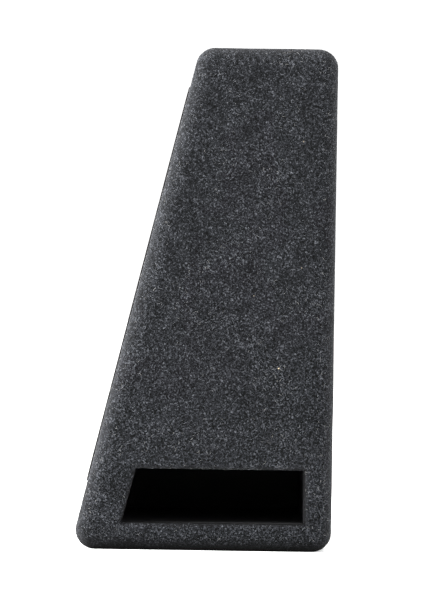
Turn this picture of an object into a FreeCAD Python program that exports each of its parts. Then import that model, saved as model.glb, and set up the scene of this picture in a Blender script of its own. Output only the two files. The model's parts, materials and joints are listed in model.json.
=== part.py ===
"""A wedge-shaped, slot-ported loudspeaker box covered in needle-felt carpet.

Frame: +Z up. The slot end faces -Y and the terminal end faces +Y. The leaning baffle faces -X and the
upright back faces +X. The origin is the middle of the bounding box, at floor level. Millimetres.
"""

import FreeCAD, Part
import math
import os

from FreeCAD import Placement, Rotation, Vector

# Box
HEIGHT = 384.0
BASE_DEPTH = 199.4
TOP_DEPTH = 105.4
LENGTH = 480.0
CARPET = 2.0
BOARD = 19.0
DOUBLER = 12.0
SHELF = 12.0
ROUTED_RADIUS = 12.7

# Port
PORT_HEIGHT = 41.5
SHELF_LENGTH = 372.0
SLOT_CORNER = 1.5
SLOT_LIP = 3.0

# Driver, as radii and as depths along the driver's axis
DRIVER_HEIGHT = 202.7
BAFFLE_HOLE = 137.5
DOUBLER_HOLE = 119.5
FLANGE_RADIUS = 133.0
GASKET_RADII = (131.0, 121.0)
GASKET_THICKNESS = 2.0
FRAME_SHEET = 1.6
FRAME_THROAT = 116.0
FRAME_SHELF = (81.0, 70.0)
FRAME_SEAT = (59.0, 34.0)
FRAME_WINDOWS = 6
DRIVER_SCREW_CIRCLE = 126.5
DRIVER_SCREWS = 8
TRIM_RADII = (121.5, 114.2)
TRIM_TOP = 3.6
SPIDER_SEAT = 34.0
MAGNET_SEAT = 45.5
TOP_PLATE_THICKNESS = 8.0
MAGNET_THICKNESS = 15.0
YOKE_THICKNESS = 7.0
VENT_RADIUS = 7.0
POLE_RADIUS = 24.2
TOP_PLATE_RADII = (60.0, 27.4)
MAGNET_RADII = (66.0, 33.0)

# Moving parts of the driver
CONE_RADIUS = 99.0
CONE_LAP = 4.0
CONE_DEPTH = 27.0
CONE_WALL = 1.2
SURROUND_HEIGHT = 7.5
SURROUND_SKIN = 0.8
SURROUND_FEET = (96.0, 120.5)
SURROUND_ROLL = (99.6, 113.5)
DUST_CAP_RADIUS = 44.0
DUST_CAP_RISE = 11.0
DUST_CAP_SKIN = 0.6
COIL_RADIUS = 25.4
FORMER_WALL = 0.3
WINDING_THICKNESS = 1.1
WINDING_LENGTH = 16.0
SPIDER_RADIUS = 80.0
SPIDER_FLATS = (3.5, 8.5)
SPIDER_WALL = 0.5
SPIDER_RISE = 1.6
SPIDER_WAVES = 5

# Grille
GRILLE_SIDE = 315.0
GRILLE_CORNER = 22.0
GRILLE_SHEET = 1.2
EDGING_WALL = 0.5
EDGING_WIDTH = 6.0
GRILLE_SCREW_INSET = 12.0
GRILLE_HOLE = 2.9
GRILLE_PITCH = 8.8
GRILLE_BORDER = 20.0

# Terminal cup
CUP_HEIGHT = 158.0
CUP_FLANGE = (84.0, 64.0)
CUP_DISH = (62.0, 44.0)
CUP_DEPTH = 26.0
CUP_WALL = 2.0
CUP_FLANGE_THICKNESS = 2.5
CUP_GASKET = 1.5
CUP_CORNERS = (8.0, 10.0)
CUP_EDGE = 1.0
CUP_SCREW_SPACING = (72.0, 52.0)
CUP_SCREW_REACH = 19.0
POST_SPACING = 30.0
BUTTON_TRAVEL = 4.5
BUTTON_RADIUS = 7.0
PLUNGER_RADIUS = 3.0
PLUNGER_PLAY = 0.08
SLEEVE_RADIUS = 4.5
TAIL_RADIUS = 4.0
SLEEVE_HEIGHT = 13.5
TAIL_LENGTH = 8.5
SLEEVE_FOOT = (6.0, 1.5)
WIRE_HOLE = 1.75
WIRE_HOLE_HEIGHT = 4.0
PLUNGER_HEAD = 1.2
PLUNGER_FOOT = (3.9, 1.2)
FOOT_GAP = 0.2
BUTTON_ROOF = 2.6
BUTTON_SKIRT = 2.5
BUTTON_EDGE = 1.2
BUTTON_PLAY = 0.3
LUG_RADIUS = 7.2
LUG_TAIL = (5.0, 12.0)
LUG_REACH = 17.5
LUG_THICKNESS = 0.8
NUT_FLATS = 13.0
NUT_THICKNESS = 4.0
SPRING_WIRE = 0.35
SPRING_RADIUS = 3.95
SPRING_TURNS = 4.5

# Fasteners
WOOD_SCREW_SHANK = 1.75
WOOD_SCREW_HEAD = 3.2
WOOD_SCREW_HEAD_HEIGHT = 2.0
WOOD_SCREW_POINT = 4.0
RECESS = (3.2, 0.8)
CLEARANCE = 0.1

GLUE_LINE = 0.05

# Wiring
LEAD_RADIUS = 1.4
LEAD_END_RUNS = (16.0, 14.0)
LEAD_SAGS = (9.0, 15.0)
LEAD_ON_LUG = 2.0
TAB_X = 9.0
TAB_END = 105.4

# Values that follow from those above
OUTER_RADIUS = ROUTED_RADIUS + CARPET
WALL = CARPET + BOARD
LEAN = math.atan2(BASE_DEPTH - TOP_DEPTH, HEIGHT)
ALONG_X = math.cos(LEAN)
ALONG_Z = math.sin(LEAN)
FRONT_WALL = WALL + DOUBLER
STANDOFF = CUP_GASKET + CUP_FLANGE_THICKNESS + WOOD_SCREW_HEAD_HEIGHT
Y_SLOT_END = -(LENGTH + STANDOFF) / 2
Y_TERMINAL_END = Y_SLOT_END + LENGTH
Y_MIDDLE = Y_SLOT_END + LENGTH / 2
# the rounded lower front edge reaches less far forward than the sharp corner would
LOST_TO_ROUNDING = OUTER_RADIUS * ((1 + ALONG_Z) / ALONG_X - 1)
X_BACK = (BASE_DEPTH - LOST_TO_ROUNDING) / 2
X_TOE = X_BACK - BASE_DEPTH


def front_x(z, depth=0.0):
    """The x of a plane that lies `depth` inside the leaning face, at height z."""
    return X_TOE + z * math.tan(LEAN) + depth / ALONG_X


def driver_place():
    """Local x runs up the slope, y along the box and z out of the carpet, from the driver's centre."""
    centre = Vector(front_x(DRIVER_HEIGHT), Y_MIDDLE, DRIVER_HEIGHT)
    return Placement(centre, Rotation(Vector(0, 1, 0), math.degrees(LEAN) - 90))


def cup_place():
    """Local x runs towards the baffle, y up and z out of the terminal end."""
    inner_front = front_x(CUP_HEIGHT, FRONT_WALL)
    x_centre = (inner_front + X_BACK - WALL) / 2
    return Placement(Vector(x_centre, Y_TERMINAL_END, CUP_HEIGHT), Rotation(Vector(0, 1, 1), 180))


def export(node, shape, place=None):
    shape = shape.copy()
    if place is not None:
        shape.Placement = place.multiply(shape.Placement)
    if not shape.isValid():
        raise ValueError(node + " is not a valid solid")
    shape.exportStep("parts/" + node + ".step")
    print(f"{node:20s} solids {len(shape.Solids)}  volume {shape.Volume / 1000:9.2f} cm3")


def rod(radius, z_low, z_high, x=0.0, y=0.0):
    return Part.makeCylinder(radius, z_high - z_low, Vector(x, y, z_low))


def ring(outer, inner, z_low, z_high, x=0.0, y=0.0):
    return rod(outer, z_low, z_high, x, y).cut(rod(inner, z_low - 1, z_high + 1, x, y))


def lathe(points):
    """A solid of revolution about local z, from an outline of (radius, height) points."""
    corners = [Vector(radius, 0, height) for radius, height in points]
    outline = Part.makePolygon(corners + corners[:1])
    return Part.Face(outline).revolve(Vector(), Vector(0, 0, 1), 360)


def plate(width, depth, corner, z_low, z_high):
    """An upright-edged plate centred on local z, with rounded corners."""
    block = Part.makeBox(width, depth, z_high - z_low, Vector(-width / 2, -depth / 2, z_low))
    uprights = [e for e in block.Edges if abs(e.tangentAt(e.FirstParameter).z) > 0.9]
    return block.makeFillet(corner, uprights)


def on_circle(count, radius, first=0.0):
    for i in range(count):
        turn = math.radians(first) + 2 * math.pi * i / count
        yield radius * math.cos(turn), radius * math.sin(turn)


def section(inset, z_low=None, z_high=None, front=None, back=None):
    """The wedge's side outline, as an unrounded face at y = 0.

    `inset` moves every wall inward. `front` and `back` give the leaning and the upright wall insets of
    their own.
    """
    z_low = inset if z_low is None else z_low
    z_high = HEIGHT - inset if z_high is None else z_high
    front = inset if front is None else front
    back = inset if back is None else back
    x_back = X_BACK - back
    corners = [
        Vector(front_x(z_low, front), 0, z_low),
        Vector(x_back, 0, z_low),
        Vector(x_back, 0, z_high),
        Vector(front_x(z_high, front), 0, z_high),
    ]
    return Part.Face(Part.makePolygon(corners + corners[:1]))


def prism(face, y_low, y_high):
    placed = face.copy()
    placed.translate(Vector(0, y_low, 0))
    return placed.extrude(Vector(0, y_high - y_low, 0))


def rounded_wedge(inset, radius):
    block = prism(section(inset), Y_SLOT_END + inset, Y_TERMINAL_END - inset)
    return block.makeFillet(radius, block.Edges)


def between(y_low, y_high):
    size = 2 * HEIGHT
    return Part.makeBox(size, y_high - y_low, size, Vector(-HEIGHT, y_low, -HEIGHT / 2))


def slot_cutter(grow):
    """The port's opening, which the duct's own walls outline, grown all round by `grow`."""
    face = section(
        0,
        z_low=WALL - grow,
        z_high=WALL + PORT_HEIGHT + grow,
        front=FRONT_WALL - grow,
        back=WALL - grow,
    )
    block = prism(face, Y_SLOT_END - BOARD, Y_SLOT_END + 2 * WALL)
    lengthwise = [e for e in block.Edges if abs(e.tangentAt(e.FirstParameter).y) > 0.9]
    return block.makeFillet(SLOT_CORNER + grow, lengthwise)


def mouth_edges(solid, y_face, grow):
    """The edges of the slot's opening that lie in the face at y_face."""
    low = WALL - grow - 1
    high = WALL + PORT_HEIGHT + grow + 1
    found = []
    for edge in solid.Edges:
        box = edge.BoundBox
        in_face = abs(box.YMin - y_face) < 0.01 and abs(box.YMax - y_face) < 0.01
        if in_face and box.ZMin > low and box.ZMax < high and box.XMax < X_BACK - WALL + grow + 1:
            found.append(edge)
    return found


def driver_cutter(radius, depth_low, depth_high):
    hole = rod(radius, -depth_high, -depth_low)
    hole.Placement = driver_place()
    return hole


def cup_cutter():
    hole = plate(CUP_DISH[0] + 1, CUP_DISH[1] + 1, 10.5, -2 * WALL, WALL)
    hole.Placement = cup_place()
    return hole


def screw_cutters(places, place, radius, depth):
    """Holes for screws that stand along local z at `places`, down to `depth` below the surface."""
    holes = Part.makeCompound([rod(radius, -depth, BOARD, x, y) for x, y in places])
    holes.Placement = place
    return holes


def grille_screw_places():
    """Four near the corners, where they stand clear of the rounded edging, and four at mid-side."""
    half = GRILLE_SIDE / 2 - GRILLE_SCREW_INSET
    corner = half - 5
    corners = [(x, y) for x in (-corner, corner) for y in (-corner, corner)]
    return corners + [(half, 0), (-half, 0), (0, half), (0, -half)]


def driver_screw_places():
    return list(on_circle(DRIVER_SCREWS, DRIVER_SCREW_CIRCLE, 22.5))


def cup_screw_places():
    half_x, half_y = CUP_SCREW_SPACING[0] / 2, CUP_SCREW_SPACING[1] / 2
    return [(x, y) for x in (-half_x, half_x) for y in (-half_y, half_y)]


def grille_screw_holes(radius=WOOD_SCREW_SHANK + CLEARANCE):
    return screw_cutters(grille_screw_places(), driver_place(), radius, 16)


def cup_screw_holes():
    return screw_cutters(cup_screw_places(), cup_place(), WOOD_SCREW_SHANK + CLEARANCE, 17)


def make_boards():
    """The MDF box. Returns its rounded outside and its slot end, which the carpet is cut to fit."""
    wood = rounded_wedge(CARPET, ROUTED_RADIUS)
    y_front = Y_SLOT_END + WALL
    y_rear = Y_TERMINAL_END - WALL

    slot_end = wood.common(between(Y_SLOT_END, y_front)).cut(slot_cutter(CARPET))
    slot_end = slot_end.makeFillet(SLOT_LIP, mouth_edges(slot_end, Y_SLOT_END + CARPET, CARPET))
    export("slot_end_panel", slot_end)

    terminal_end = wood.common(between(y_rear, Y_TERMINAL_END)).cut(cup_cutter()).cut(cup_screw_holes())
    export("terminal_end_panel", terminal_end)

    middle = wood.common(between(y_front, y_rear))
    below = prism(section(0, z_high=WALL), y_front, y_rear)
    above = prism(section(0, z_low=HEIGHT - WALL), y_front, y_rear)
    export("bottom_panel", middle.common(below))
    export("top_panel", middle.common(above))

    walls = {"z_low": WALL, "z_high": HEIGHT - WALL}
    corner = Vector(X_BACK - WALL, y_front, WALL)
    export("back_panel", Part.makeBox(BOARD, y_rear - y_front, HEIGHT - 2 * WALL, corner))

    inner_slab = prism(section(0, back=WALL, front=CARPET, **walls), y_front, y_rear)
    behind_baffle = prism(section(0, back=WALL, front=WALL, **walls), y_front, y_rear)
    behind_doubler = prism(section(0, back=WALL, front=FRONT_WALL, **walls), y_front, y_rear)
    baffle = inner_slab.cut(behind_baffle)
    baffle = baffle.cut(driver_cutter(BAFFLE_HOLE, 0, WALL + 1)).cut(grille_screw_holes())
    export("outer_baffle", baffle)

    doubler = behind_baffle.cut(behind_doubler)
    doubler = doubler.cut(driver_cutter(DOUBLER_HOLE, BOARD, FRONT_WALL + 1))
    hole_radius = WOOD_SCREW_SHANK + CLEARANCE
    holes = screw_cutters(driver_screw_places(), driver_place(), hole_radius, FRONT_WALL - 1)
    export("baffle_doubler", doubler.cut(holes))

    z_shelf = WALL + PORT_HEIGHT
    shelf = section(0, z_low=z_shelf, z_high=z_shelf + SHELF, front=FRONT_WALL, back=WALL)
    export("port_shelf", prism(shelf, y_front, y_front + SHELF_LENGTH))
    return wood, slot_end


def make_carpet(wood, slot_end):
    """Four pieces of carpet: two end pieces, one that wraps the long sides, and the base."""
    skin = rounded_wedge(0, OUTER_RADIUS)
    y_front = Y_SLOT_END + WALL
    y_rear = Y_TERMINAL_END - WALL

    end = skin.common(between(Y_SLOT_END - 1, y_front)).cut(slot_cutter(0))
    end = end.makeFillet(SLOT_LIP + CARPET, mouth_edges(end, Y_SLOT_END, 0))
    export("carpet_slot_end", end.cut(slot_end))

    end = skin.cut(wood).common(between(y_rear, Y_TERMINAL_END + 1))
    export("carpet_terminal_end", end.cut(cup_cutter()).cut(cup_screw_holes()))

    sleeve = skin.cut(wood).common(between(y_front, y_rear))
    turned_under = OUTER_RADIUS + 12
    x_low = front_x(0) + turned_under
    x_high = X_BACK - turned_under
    base = Part.makeBox(x_high - x_low, y_rear - y_front, CARPET, Vector(x_low, y_front, 0))
    export("carpet_base", base)
    sleeve = sleeve.cut(base).cut(driver_cutter(BAFFLE_HOLE, -1, CARPET + 1))
    groove = grille_edging()
    groove.Placement = driver_place()
    sleeve = sleeve.cut(groove).cut(grille_screw_holes(WOOD_SCREW_SHANK + 4 * CLEARANCE))
    export("carpet_wrap", sleeve)


def grille_edging():
    """The rubber edging before its channel is cut. Its inner lip presses into the carpet."""
    corner = GRILLE_CORNER + EDGING_WALL
    outer = plate(GRILLE_SIDE, GRILLE_SIDE, corner, -EDGING_WALL, GRILLE_SHEET + EDGING_WALL)
    inner_side = GRILLE_SIDE - 2 * EDGING_WIDTH
    inner_corner = corner - EDGING_WIDTH
    return outer.cut(plate(inner_side, inner_side, inner_corner, -BOARD, BOARD))


def make_grille():
    """A perforated steel sheet held flat on the carpet, with a rubber edging pushed over its rim."""
    z_high = GRILLE_SHEET
    side = GRILLE_SIDE - 2 * EDGING_WALL
    sheet = plate(side, side, GRILLE_CORNER, 0, z_high)
    rim = max(sheet.Faces, key=lambda face: face.normalAt(0, 0).z * face.Area).OuterWire

    wires = [rim]
    limit = side / 2 - GRILLE_BORDER
    screws_at = grille_screw_places()
    row_step = GRILLE_PITCH * math.sqrt(3) / 2
    rows = int(limit / row_step)
    across = int(limit / GRILLE_PITCH)
    for row in range(-rows, rows + 1):
        shift = GRILLE_PITCH / 2 if row % 2 else 0.0
        for column in range(-across - 1, across + 1):
            x, y = column * GRILLE_PITCH + shift, row * row_step
            clear = min(math.hypot(x - u, y - v) for u, v in screws_at) > 2 * WOOD_SCREW_HEAD + 1
            if clear and abs(x) <= limit and abs(y) <= limit:
                wires.append(Part.Wire(Part.makeCircle(GRILLE_HOLE, Vector(x, y, z_high))))
    for x, y in screws_at:
        wires.append(Part.Wire(Part.makeCircle(WOOD_SCREW_SHANK + CLEARANCE, Vector(x, y, z_high))))
    sheet_face = Part.Face(wires, "Part::FaceMakerBullseye")
    print(f"   grille holes {len(wires) - 1 - len(screws_at)}")
    seats = [countersink(x, y, z_high, CLEARANCE) for x, y in screws_at]
    export("grille_plate", sheet_face.extrude(Vector(0, 0, -GRILLE_SHEET)).cut(seats), driver_place())
    export("grille_edging", grille_edging().cut(sheet), driver_place())
    screws = [countersunk_screw(x, y, z_high, 16.0) for x, y in screws_at]
    export("grille_screws", Part.makeCompound(screws), driver_place())


def countersink(x, y, top, gap=0.0):
    """A right-angled cone from a wood screw's shank up to its flush head, grown by `gap`."""
    depth = WOOD_SCREW_HEAD - WOOD_SCREW_SHANK
    return Part.makeCone(WOOD_SCREW_SHANK + gap, WOOD_SCREW_HEAD + gap, depth, Vector(x, y, top - depth))


def screw_body(x, y, z_low, z_high):
    """A wood screw's shank and point."""
    point = Part.makeCone(WOOD_SCREW_SHANK / 8, WOOD_SCREW_SHANK, WOOD_SCREW_POINT, Vector(x, y, z_low))
    return point.fuse(rod(WOOD_SCREW_SHANK, z_low + WOOD_SCREW_POINT, z_high, x, y))


def cross_recess(x, y, top, depth):
    length, width = RECESS
    one = Part.makeBox(length, width, depth + 1, Vector(x - length / 2, y - width / 2, top - depth))
    other = Part.makeBox(width, length, depth + 1, Vector(x - width / 2, y - length / 2, top - depth))
    return one.fuse(other)


def countersunk_screw(x, y, top, length):
    body = screw_body(x, y, top - length, top - WOOD_SCREW_HEAD + WOOD_SCREW_SHANK)
    return body.fuse(countersink(x, y, top)).removeSplitter().cut(cross_recess(x, y, top, 1.0))


def pan_screw(x, y, z_seat, reach):
    """A pan-head screw with a cross recess, its head resting on z_seat."""
    top = z_seat + WOOD_SCREW_HEAD_HEIGHT
    head = rod(WOOD_SCREW_HEAD, z_seat, top, x, y)
    head = head.makeFillet(0.9, [e for e in head.Edges if e.BoundBox.ZMin > top - 0.01])
    body = screw_body(x, y, z_seat - reach, z_seat)
    return body.fuse(head.cut(cross_recess(x, y, top, 1.2))).removeSplitter()


def basket_outline(seat):
    """The stamped frame's cross-section, from the flange's rim inward and down to the magnet."""
    sheet = FRAME_SHEET
    front = seat + sheet
    return [
        (FLANGE_RADIUS, seat),
        (FLANGE_RADIUS, front),
        (FRAME_THROAT, front),
        (FRAME_SHELF[0], front - SPIDER_SEAT),
        (FRAME_SHELF[1], front - SPIDER_SEAT),
        (FRAME_SEAT[0], front - MAGNET_SEAT),
        (FRAME_SEAT[1], front - MAGNET_SEAT),
        (FRAME_SEAT[1], front - MAGNET_SEAT - sheet),
        (FRAME_SEAT[0] + 0.6 * sheet, front - MAGNET_SEAT - sheet),
        (FRAME_SHELF[1] + 0.6 * sheet, front - SPIDER_SEAT - sheet),
        (FRAME_SHELF[0] + 0.6 * sheet, front - SPIDER_SEAT - sheet),
        (FRAME_THROAT + sheet, seat),
    ]


def make_driver_frame():
    seat = -WALL + GASKET_THICKNESS
    front = seat + FRAME_SHEET
    gasket = ring(*GASKET_RADII, -WALL, seat)
    screw_holes = [rod(2.2, -WALL - 1, front + 1, x, y) for x, y in driver_screw_places()]
    export("mounting_gasket", gasket.cut(screw_holes), driver_place())

    basket = lathe(basket_outline(seat)).cut(screw_holes)
    window = Part.makeBox(34, 52, 24, Vector(78, -26, front - 31.5))
    window = window.makeFillet(6, [e for e in window.Edges if abs(e.tangentAt(0).x) > 0.9])
    for turn in range(FRAME_WINDOWS):
        cutter = window.copy()
        cutter.rotate(Vector(), Vector(0, 0, 1), 360 / FRAME_WINDOWS * turn)
        basket = basket.cut(cutter)
    export("basket", basket, driver_place())

    trim_top = front + TRIM_TOP
    trim = ring(*TRIM_RADII, front + SURROUND_SKIN, trim_top)
    trim = trim.makeFillet(1.0, [e for e in trim.Edges if e.BoundBox.ZMin > trim_top - 0.1 and e.Closed])
    export("trim_ring", trim, driver_place())

    screws = [pan_screw(x, y, front, 13.5) for x, y in driver_screw_places()]
    export("driver_screws", Part.makeCompound(screws), driver_place())

    make_motor(front - MAGNET_SEAT - FRAME_SHEET)
    return front


def make_motor(top):
    """The top plate, the magnet, and the yoke whose vented pole stands up through both."""
    magnet_top = top - TOP_PLATE_THICKNESS
    yoke_top = magnet_top - MAGNET_THICKNESS
    bottom = yoke_top - YOKE_THICKNESS
    rim = TOP_PLATE_RADII[0]
    export("top_plate", ring(*TOP_PLATE_RADII, magnet_top, top), driver_place())
    export("magnet", ring(*MAGNET_RADII, yoke_top, magnet_top), driver_place())
    outline = [
        (VENT_RADIUS, top),
        (POLE_RADIUS, top),
        (POLE_RADIUS, yoke_top),
        (rim, yoke_top),
        (rim - 3, bottom),
        (VENT_RADIUS, bottom),
    ]
    export("yoke", lathe(outline), driver_place())


def make_driver_terminals(front):
    """Two tabs on a small board, held under the frame's shelf on the side nearest the terminal cup."""
    shelf = front - SPIDER_SEAT - FRAME_SHEET
    bracket = Part.makeBox(12, 20.4, 2, Vector(-6, 72, shelf - 2))
    board = Part.makeBox(30, 3, 11, Vector(-15, 92.4, shelf - 5.4))
    corners = [Vector(x - 2.5, 95.4, shelf + 1.6) for x in (-TAB_X, TAB_X)]
    tabs = [Part.makeBox(5, TAB_END - 95.4, 0.8, corner) for corner in corners]
    export("driver_terminals", board.fuse([bracket] + tabs), driver_place())
    return shelf + 2.0


def roll_edges(middle, half, height, z_foot):
    """Half an ellipse standing on z_foot, as three points for an arc."""
    return Part.Arc(
        Vector(middle - half, 0, z_foot),
        Vector(middle, 0, z_foot + height),
        Vector(middle + half, 0, z_foot),
    ).toShape()


def make_surround(front):
    """The rubber half-roll. It has a flat foot on the frame and another that laps the cone's edge."""
    wall = SURROUND_SKIN
    foot = front
    inner, outer = SURROUND_FEET
    low, high = SURROUND_ROLL
    middle, half = (low + high) / 2, (high - low) / 2
    under = roll_edges(middle, half - wall, SURROUND_HEIGHT - wall, foot)
    over = roll_edges(middle, half, SURROUND_HEIGHT, foot + wall)
    a, b = under.Vertexes[0].Point, under.Vertexes[-1].Point
    c, d = over.Vertexes[0].Point, over.Vertexes[-1].Point
    left_low, left_high = Vector(inner, 0, foot), Vector(inner, 0, foot + wall)
    right_low, right_high = Vector(outer, 0, foot), Vector(outer, 0, foot + wall)
    edges = [
        Part.makeLine(left_low, a),
        under,
        Part.makeLine(b, right_low),
        Part.makeLine(right_low, right_high),
        Part.makeLine(right_high, d),
        over,
        Part.makeLine(c, left_high),
        Part.makeLine(left_high, left_low),
    ]
    roll = Part.Face(Part.Wire(Part.__sortEdges__(edges))).revolve(Vector(), Vector(0, 0, 1), 360)
    export("surround", roll, driver_place())


def make_moving_parts(edge):
    """The cone, dust cap and coil, and the spider. `edge` is the height of the cone's rim."""
    neck = edge - CONE_DEPTH
    neck_radius = COIL_RADIUS + GLUE_LINE
    lap_radius = CONE_RADIUS - CONE_LAP
    cone = lathe(
        [
            (CONE_RADIUS, edge),
            (lap_radius, edge),
            (neck_radius, neck + CONE_WALL),
            (neck_radius, neck - 1.5),
            (lap_radius, edge - CONE_WALL),
            (CONE_RADIUS, edge - CONE_WALL),
        ]
    )
    export("cone", cone, driver_place())

    cone_slope = (edge - neck - CONE_WALL) / (lap_radius - neck_radius)
    make_dust_cap(neck + CONE_WALL + (DUST_CAP_RADIUS - neck_radius) * cone_slope)

    # the winding stands centred on the top plate
    gap_middle = edge - MAGNET_SEAT - FRAME_SHEET - TOP_PLATE_THICKNESS / 2
    winding_low = gap_middle - WINDING_LENGTH / 2 - 0.5
    winding = ring(COIL_RADIUS + WINDING_THICKNESS, COIL_RADIUS, winding_low, winding_low + WINDING_LENGTH)
    former = ring(COIL_RADIUS, COIL_RADIUS - FORMER_WALL, winding_low - 1, neck + 3)
    export("coil_winding", winding, driver_place())
    export("coil_former", former, driver_place())
    make_spider(edge - SPIDER_SEAT)


def make_dust_cap(seat_z):
    """A spherical cap that sits on the cone."""
    radius, rise = DUST_CAP_RADIUS, DUST_CAP_RISE
    sphere_radius = (radius**2 + rise**2) / (2 * rise)
    centre = Vector(0, 0, seat_z + rise - sphere_radius)
    cap = Part.makeSphere(sphere_radius, centre).cut(Part.makeSphere(sphere_radius - DUST_CAP_SKIN, centre))
    cap = cap.common(rod(radius + 5, seat_z + GLUE_LINE, seat_z + 2 * rise))
    export("dust_cap", cap, driver_place())


def make_spider(z_plane):
    """A corrugated cloth disc between the coil former and the frame."""
    inner = COIL_RADIUS + GLUE_LINE
    flat_in, flat_out = inner + SPIDER_FLATS[0], SPIDER_RADIUS - SPIDER_FLATS[1]
    pitch = (flat_out - flat_in) / (2 * SPIDER_WAVES)
    low = [(inner, z_plane), (flat_in, z_plane)]
    for i in range(1, 2 * SPIDER_WAVES):
        low.append((flat_in + i * pitch, z_plane + (SPIDER_RISE if i % 2 else -SPIDER_RISE)))
    low += [(flat_out, z_plane), (SPIDER_RADIUS, z_plane)]
    high = [(radius, height + SPIDER_WALL) for radius, height in reversed(low)]
    export("spider", lathe(low + high), driver_place())


def hexagon(across_flats, z_low, z_high, x=0.0, y=0.0):
    reach = across_flats / math.sqrt(3)
    corners = [Vector(x + u, y + v, z_low) for u, v in on_circle(6, reach)]
    return Part.Face(Part.makePolygon(corners + corners[:1])).extrude(Vector(0, 0, z_high - z_low))


def cross_hole(x, z, radius):
    return Part.makeCylinder(radius, 30, Vector(x, -15, z), Vector(0, 1, 0))


def make_terminal_cup():
    back = CUP_GASKET
    face = back + CUP_FLANGE_THICKNESS
    floor = back - CUP_DEPTH
    floor_front = floor + CUP_WALL
    screw_holes = [rod(WOOD_SCREW_SHANK + CLEARANCE, -2, face + 1, x, y) for x, y in cup_screw_places()]
    post_at = (-POST_SPACING / 2, POST_SPACING / 2)
    post_holes = [rod(TAIL_RADIUS + CLEARANCE, floor - 1, floor_front + 1, x) for x in post_at]

    flange_corner, dish_corner = CUP_CORNERS
    flange = plate(CUP_FLANGE[0], CUP_FLANGE[1], flange_corner, back, face)
    rim = [e for e in flange.Edges if e.BoundBox.ZMin > face - 0.01]
    flange = flange.makeFillet(CUP_EDGE, rim)
    dish = plate(CUP_DISH[0], CUP_DISH[1], dish_corner, floor, face - CUP_EDGE)
    inside_size = [side - 2 * CUP_WALL for side in CUP_DISH]
    inside = plate(*inside_size, dish_corner - CUP_WALL, floor_front, face + 1)
    cup = flange.fuse(dish).removeSplitter().cut(inside).cut(screw_holes + post_holes)
    export("terminal_cup", cup, cup_place())

    gasket = plate(CUP_FLANGE[0] - 2, CUP_FLANGE[1] - 2, flange_corner - 1, 0, back)
    dish_room = plate(CUP_DISH[0] + 1, CUP_DISH[1] + 1, dish_corner + 0.5, -1, back + 1)
    gasket = gasket.cut(dish_room).cut(screw_holes)
    export("cup_gasket", gasket, cup_place())

    screws = [pan_screw(x, y, face, CUP_SCREW_REACH) for x, y in cup_screw_places()]
    export("cup_screws", Part.makeCompound(screws), cup_place())

    make_post("black", -POST_SPACING / 2, floor, floor_front)
    make_post("red", POST_SPACING / 2, floor, floor_front)
    return floor


def make_post(colour, x, floor, floor_front):
    """One spring-loaded terminal: pressing the button lines up the wire holes in plunger and sleeve."""
    hole_z = floor_front + WIRE_HOLE_HEIGHT
    sleeve_top = floor_front + SLEEVE_HEIGHT
    tail = floor - TAIL_LENGTH
    bore = PLUNGER_RADIUS + PLUNGER_PLAY
    sleeve = ring(SLEEVE_RADIUS, bore, floor_front, sleeve_top, x).fuse(
        [
            ring(SLEEVE_FOOT[0], bore, floor_front, floor_front + SLEEVE_FOOT[1], x),
            ring(TAIL_RADIUS, bore, tail, floor_front, x),
        ]
    )
    export(colour + "_sleeve", sleeve.removeSplitter().cut(cross_hole(x, hole_z, WIRE_HOLE)), cup_place())

    roof = sleeve_top + 2 * BUTTON_TRAVEL
    foot_top = tail - FOOT_GAP
    foot = rod(PLUNGER_FOOT[0], foot_top - PLUNGER_FOOT[1], foot_top, x)
    plunger = rod(PLUNGER_RADIUS, foot_top, roof + PLUNGER_HEAD, x).fuse(foot)
    plunger = plunger.removeSplitter().cut(cross_hole(x, hole_z + BUTTON_TRAVEL, WIRE_HOLE))
    export(colour + "_plunger", plunger, cup_place())

    top = roof + BUTTON_ROOF
    button = rod(BUTTON_RADIUS, sleeve_top - BUTTON_SKIRT, top, x)
    button = button.makeFillet(BUTTON_EDGE, [e for e in button.Edges if e.BoundBox.ZMin > top - 0.01])
    inside = rod(SLEEVE_RADIUS + BUTTON_PLAY, sleeve_top - BUTTON_TRAVEL, roof, x)
    socket = rod(PLUNGER_RADIUS + GLUE_LINE, roof - 1, roof + PLUNGER_HEAD, x)
    button = button.cut(inside).cut(socket)
    export(colour + "_button", button, cup_place())

    export(colour + "_spring", coil_spring(x, sleeve_top + GLUE_LINE, roof - GLUE_LINE), cup_place())

    bore = TAIL_RADIUS + GLUE_LINE
    lug_back = floor - LUG_THICKNESS
    width, length = LUG_TAIL
    strip = Part.makeBox(width, length, LUG_THICKNESS, Vector(x - width / 2, -LUG_REACH, lug_back))
    lug = ring(LUG_RADIUS, bore, lug_back, floor, x).fuse(strip).removeSplitter()
    export(colour + "_lug", lug.cut(rod(bore, floor - 2, floor + 1, x)), cup_place())
    nut = hexagon(NUT_FLATS, lug_back - NUT_THICKNESS, lug_back, x)
    nut = nut.cut(rod(bore, lug_back - NUT_THICKNESS - 1, floor, x))
    export(colour + "_nut", nut, cup_place())


def coil_spring(x, z_low, z_high):
    """A compression spring of eight-sided wire swept along a helix."""
    rise = z_high - z_low - 2 * SPRING_WIRE
    helix = Part.makeHelix(rise / SPRING_TURNS, rise, SPRING_RADIUS)
    corners = [Vector(SPRING_RADIUS + u, 0, v) for u, v in on_circle(8, SPRING_WIRE, 22.5)]
    spring = Part.Wire(helix.Edges).makePipeShell([Part.makePolygon(corners + corners[:1])], True, True)
    spring.translate(Vector(x, 0, z_low + SPRING_WIRE))
    return spring.Solids[0]


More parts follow.
